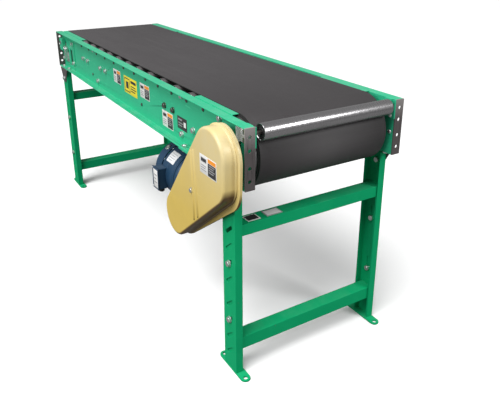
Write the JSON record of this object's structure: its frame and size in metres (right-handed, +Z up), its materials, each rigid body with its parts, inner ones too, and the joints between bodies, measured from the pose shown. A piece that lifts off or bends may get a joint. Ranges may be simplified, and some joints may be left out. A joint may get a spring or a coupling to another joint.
{
  "type": "belt conveyor section",
  "caption": "Powered belt conveyor section with a roller bed, chain-driven end pulley under a guard, screw take-up tail and telescoping channel floor supports.",
  "frame": {"origin": "floor level, centre of the floor anchor pattern, midway along the bed", "axes": "+X along the belt towards the drive end, +Y across the bed away from the chain guard side, +Z up"},
  "size_m": [1.9226, 0.6406, 0.833],
  "materials": {
    "green_paint": "semi-gloss machine enamel",
    "grey_paint": "dark grey satin paint",
    "yellow_paint": "satin safety cream yellow",
    "navy_paint": "satin motor enamel",
    "zinc_plate": "bright zinc plated",
    "roller_steel": "drawn galvanised tube",
    "shaft_steel": "ground bright bar",
    "pulley_steel": "turned mild steel",
    "chain_steel": "oiled roller chain",
    "bearing_iron": "machined cast iron",
    "belt_rubber": "matt woven cover",
    "lagging_rubber": "matt rubber lagging",
    "fan_plastic": "moulded black"
  },
  "bodies": {
    "supports": {"near_lower_leg_left": "green_paint", "near_lower_leg_right": "green_paint", "far_lower_leg_left": "green_paint", "far_lower_leg_right": "green_paint", "lower_braces": "green_paint"},
    "bed": {"frame_left": "green_paint", "frame_right": "green_paint", "end_couplings": "grey_paint", "bed_spacers": "green_paint", "belt_covers": "green_paint", "roller_axles": "zinc_plate", "drive_bearings": "bearing_iron", "takeup_plates": "green_paint", "takeup_screws": "zinc_plate", "belt": "belt_rubber", "popout_brackets": "green_paint", "backing_plates": "zinc_plate", "guard_cover": "yellow_paint", "guard_back": "yellow_paint", "drive_chain": "chain_steel", "gear_reducer": "navy_paint", "motor": "navy_paint", "fan_cover": "navy_paint", "conduit_box": "navy_paint", "motor_mount": "green_paint", "near_upper_leg_left": "green_paint", "near_upper_leg_right": "green_paint", "far_upper_leg_left": "green_paint", "far_upper_leg_right": "green_paint", "upper_braces": "green_paint", "pivot_brackets": "grey_paint", "support_bolts": "zinc_plate", "frame_bolts": "zinc_plate"},
    "drive_unit": {"drive_pulley": "pulley_steel", "pulley_lagging": "lagging_rubber", "drive_shaft": "shaft_steel", "driven_sprocket": "shaft_steel"},
    "output_unit": {"output_shaft": "shaft_steel", "drive_sprocket": "shaft_steel"},
    "takeup": {"takeup_blocks": "green_paint", "tail_shaft": "shaft_steel"},
    "tail_unit": {"tail_pulley": "pulley_steel"},
    "popout_axle_unit": {"popout_axle": "zinc_plate"},
    "popout_roller_unit": {"popout_roller": "roller_steel"},
    "fan_unit": {"motor_fan": "fan_plastic"},
    "carrying_roller_01_unit": {"carrying_roller_01": "roller_steel"},
    "carrying_roller_02_unit": {"carrying_roller_02": "roller_steel"},
    "carrying_roller_03_unit": {"carrying_roller_03": "roller_steel"},
    "carrying_roller_04_unit": {"carrying_roller_04": "roller_steel"},
    "carrying_roller_05_unit": {"carrying_roller_05": "roller_steel"},
    "carrying_roller_06_unit": {"carrying_roller_06": "roller_steel"},
    "carrying_roller_07_unit": {"carrying_roller_07": "roller_steel"},
    "carrying_roller_08_unit": {"carrying_roller_08": "roller_steel"},
    "carrying_roller_09_unit": {"carrying_roller_09": "roller_steel"},
    "carrying_roller_10_unit": {"carrying_roller_10": "roller_steel"},
    "carrying_roller_11_unit": {"carrying_roller_11": "roller_steel"},
    "carrying_roller_12_unit": {"carrying_roller_12": "roller_steel"},
    "return_roller_1_unit": {"return_roller_1": "roller_steel"},
    "return_roller_2_unit": {"return_roller_2": "roller_steel"},
    "snub_roller_unit": {"snub_roller": "roller_steel"}
  },
  "joints": [
    {"name": "height_adjust", "type": "slide", "parent": "supports", "child": "bed", "axis": [0, 0, 1], "range_m": [0, 0.04]},
    {"name": "drive_spin", "type": "hinge", "parent": "bed", "child": "drive_unit", "pos_m": [0.831, 0, 0.724], "axis": [0, 1, 0], "continuous": true},
    {"name": "output_spin", "type": "hinge", "parent": "bed", "child": "output_unit", "pos_m": [0.60195, 0, 0.45199], "axis": [0, 1, 0], "continuous": true},
    {"name": "carrying_roller_01_spin", "type": "hinge", "parent": "bed", "child": "carrying_roller_01_unit", "pos_m": [-0.5969, 0, 0.8035], "axis": [0, 1, 0], "continuous": true},
    {"name": "carrying_roller_02_spin", "type": "hinge", "parent": "bed", "child": "carrying_roller_02_unit", "pos_m": [-0.4826, 0, 0.8035], "axis": [0, 1, 0], "continuous": true},
    {"name": "carrying_roller_03_spin", "type": "hinge", "parent": "bed", "child": "carrying_roller_03_unit", "pos_m": [-0.3683, 0, 0.8035], "axis": [0, 1, 0], "continuous": true},
    {"name": "carrying_roller_04_spin", "type": "hinge", "parent": "bed", "child": "carrying_roller_04_unit", "pos_m": [-0.254, 0, 0.8035], "axis": [0, 1, 0], "continuous": true},
    {"name": "carrying_roller_05_spin", "type": "hinge", "parent": "bed", "child": "carrying_roller_05_unit", "pos_m": [-0.1397, 0, 0.8035], "axis": [0, 1, 0], "continuous": true},
    {"name": "carrying_roller_06_spin", "type": "hinge", "parent": "bed", "child": "carrying_roller_06_unit", "pos_m": [-0.0254, 0, 0.8035], "axis": [0, 1, 0], "continuous": true},
    {"name": "carrying_roller_07_spin", "type": "hinge", "parent": "bed", "child": "carrying_roller_07_unit", "pos_m": [0.0889, 0, 0.8035], "axis": [0, 1, 0], "continuous": true},
    {"name": "carrying_roller_08_spin", "type": "hinge", "parent": "bed", "child": "carrying_roller_08_unit", "pos_m": [0.2032, 0, 0.8035], "axis": [0, 1, 0], "continuous": true},
    {"name": "carrying_roller_09_spin", "type": "hinge", "parent": "bed", "child": "carrying_roller_09_unit", "pos_m": [0.3175, 0, 0.8035], "axis": [0, 1, 0], "continuous": true},
    {"name": "carrying_roller_10_spin", "type": "hinge", "parent": "bed", "child": "carrying_roller_10_unit", "pos_m": [0.4318, 0, 0.8035], "axis": [0, 1, 0], "continuous": true},
    {"name": "carrying_roller_11_spin", "type": "hinge", "parent": "bed", "child": "carrying_roller_11_unit", "pos_m": [0.5461, 0, 0.8035], "axis": [0, 1, 0], "continuous": true},
    {"name": "carrying_roller_12_spin", "type": "hinge", "parent": "bed", "child": "carrying_roller_12_unit", "pos_m": [0.6604, 0, 0.8035], "axis": [0, 1, 0], "continuous": true},
    {"name": "return_roller_1_spin", "type": "hinge", "parent": "bed", "child": "return_roller_1_unit", "pos_m": [-0.45, 0, 0.69575], "axis": [0, 1, 0], "continuous": true},
    {"name": "return_roller_2_spin", "type": "hinge", "parent": "bed", "child": "return_roller_2_unit", "pos_m": [0.15, 0, 0.69575], "axis": [0, 1, 0], "continuous": true},
    {"name": "snub_roller_spin", "type": "hinge", "parent": "bed", "child": "snub_roller_unit", "pos_m": [0.675, 0, 0.69575], "axis": [0, 1, 0], "continuous": true},
    {"name": "takeup_slide", "type": "slide", "parent": "bed", "child": "takeup", "axis": [1, 0, 0], "range_m": [0, 0.025]},
    {"name": "tail_spin", "type": "hinge", "parent": "takeup", "child": "tail_unit", "pos_m": [-0.9035, 0, 0.7766], "axis": [0, 1, 0], "continuous": true},
    {"name": "popout_lift", "type": "slide", "parent": "bed", "child": "popout_axle_unit", "axis": [0, 0, 1], "range_m": [0, 0.06]},
    {"name": "popout_spin", "type": "hinge", "parent": "popout_axle_unit", "child": "popout_roller_unit", "pos_m": [0.9385, 0, 0.807], "axis": [0, 1, 0], "continuous": true},
    {"name": "fan_spin", "type": "hinge", "parent": "bed", "child": "fan_unit", "pos_m": [0.31, -0.178, 0.48999], "axis": [1, 0, 0], "continuous": true}
  ],
  "couplings": [
    {"joint": "output_spin", "follows": "drive_spin", "ratio": 1},
    {"joint": "carrying_roller_01_spin", "follows": "drive_spin", "ratio": 4.2899},
    {"joint": "carrying_roller_02_spin", "follows": "drive_spin", "ratio": 4.2899},
    {"joint": "carrying_roller_03_spin", "follows": "drive_spin", "ratio": 4.2899},
    {"joint": "carrying_roller_04_spin", "follows": "drive_spin", "ratio": 4.2899},
    {"joint": "carrying_roller_05_spin", "follows": "drive_spin", "ratio": 4.2899},
    {"joint": "carrying_roller_06_spin", "follows": "drive_spin", "ratio": 4.2899},
    {"joint": "carrying_roller_07_spin", "follows": "drive_spin", "ratio": 4.2899},
    {"joint": "carrying_roller_08_spin", "follows": "drive_spin", "ratio": 4.2899},
    {"joint": "carrying_roller_09_spin", "follows": "drive_spin", "ratio": 4.2899},
    {"joint": "carrying_roller_10_spin", "follows": "drive_spin", "ratio": 4.2899},
    {"joint": "carrying_roller_11_spin", "follows": "drive_spin", "ratio": 4.2899},
    {"joint": "carrying_roller_12_spin", "follows": "drive_spin", "ratio": 4.2899},
    {"joint": "return_roller_1_spin", "follows": "drive_spin", "ratio": -4.2899},
    {"joint": "return_roller_2_spin", "follows": "drive_spin", "ratio": -4.2899},
    {"joint": "snub_roller_spin", "follows": "drive_spin", "ratio": -4.2899},
    {"joint": "tail_spin", "follows": "drive_spin", "ratio": 2.0314},
    {"joint": "fan_spin", "follows": "drive_spin", "ratio": 20}
  ]
}
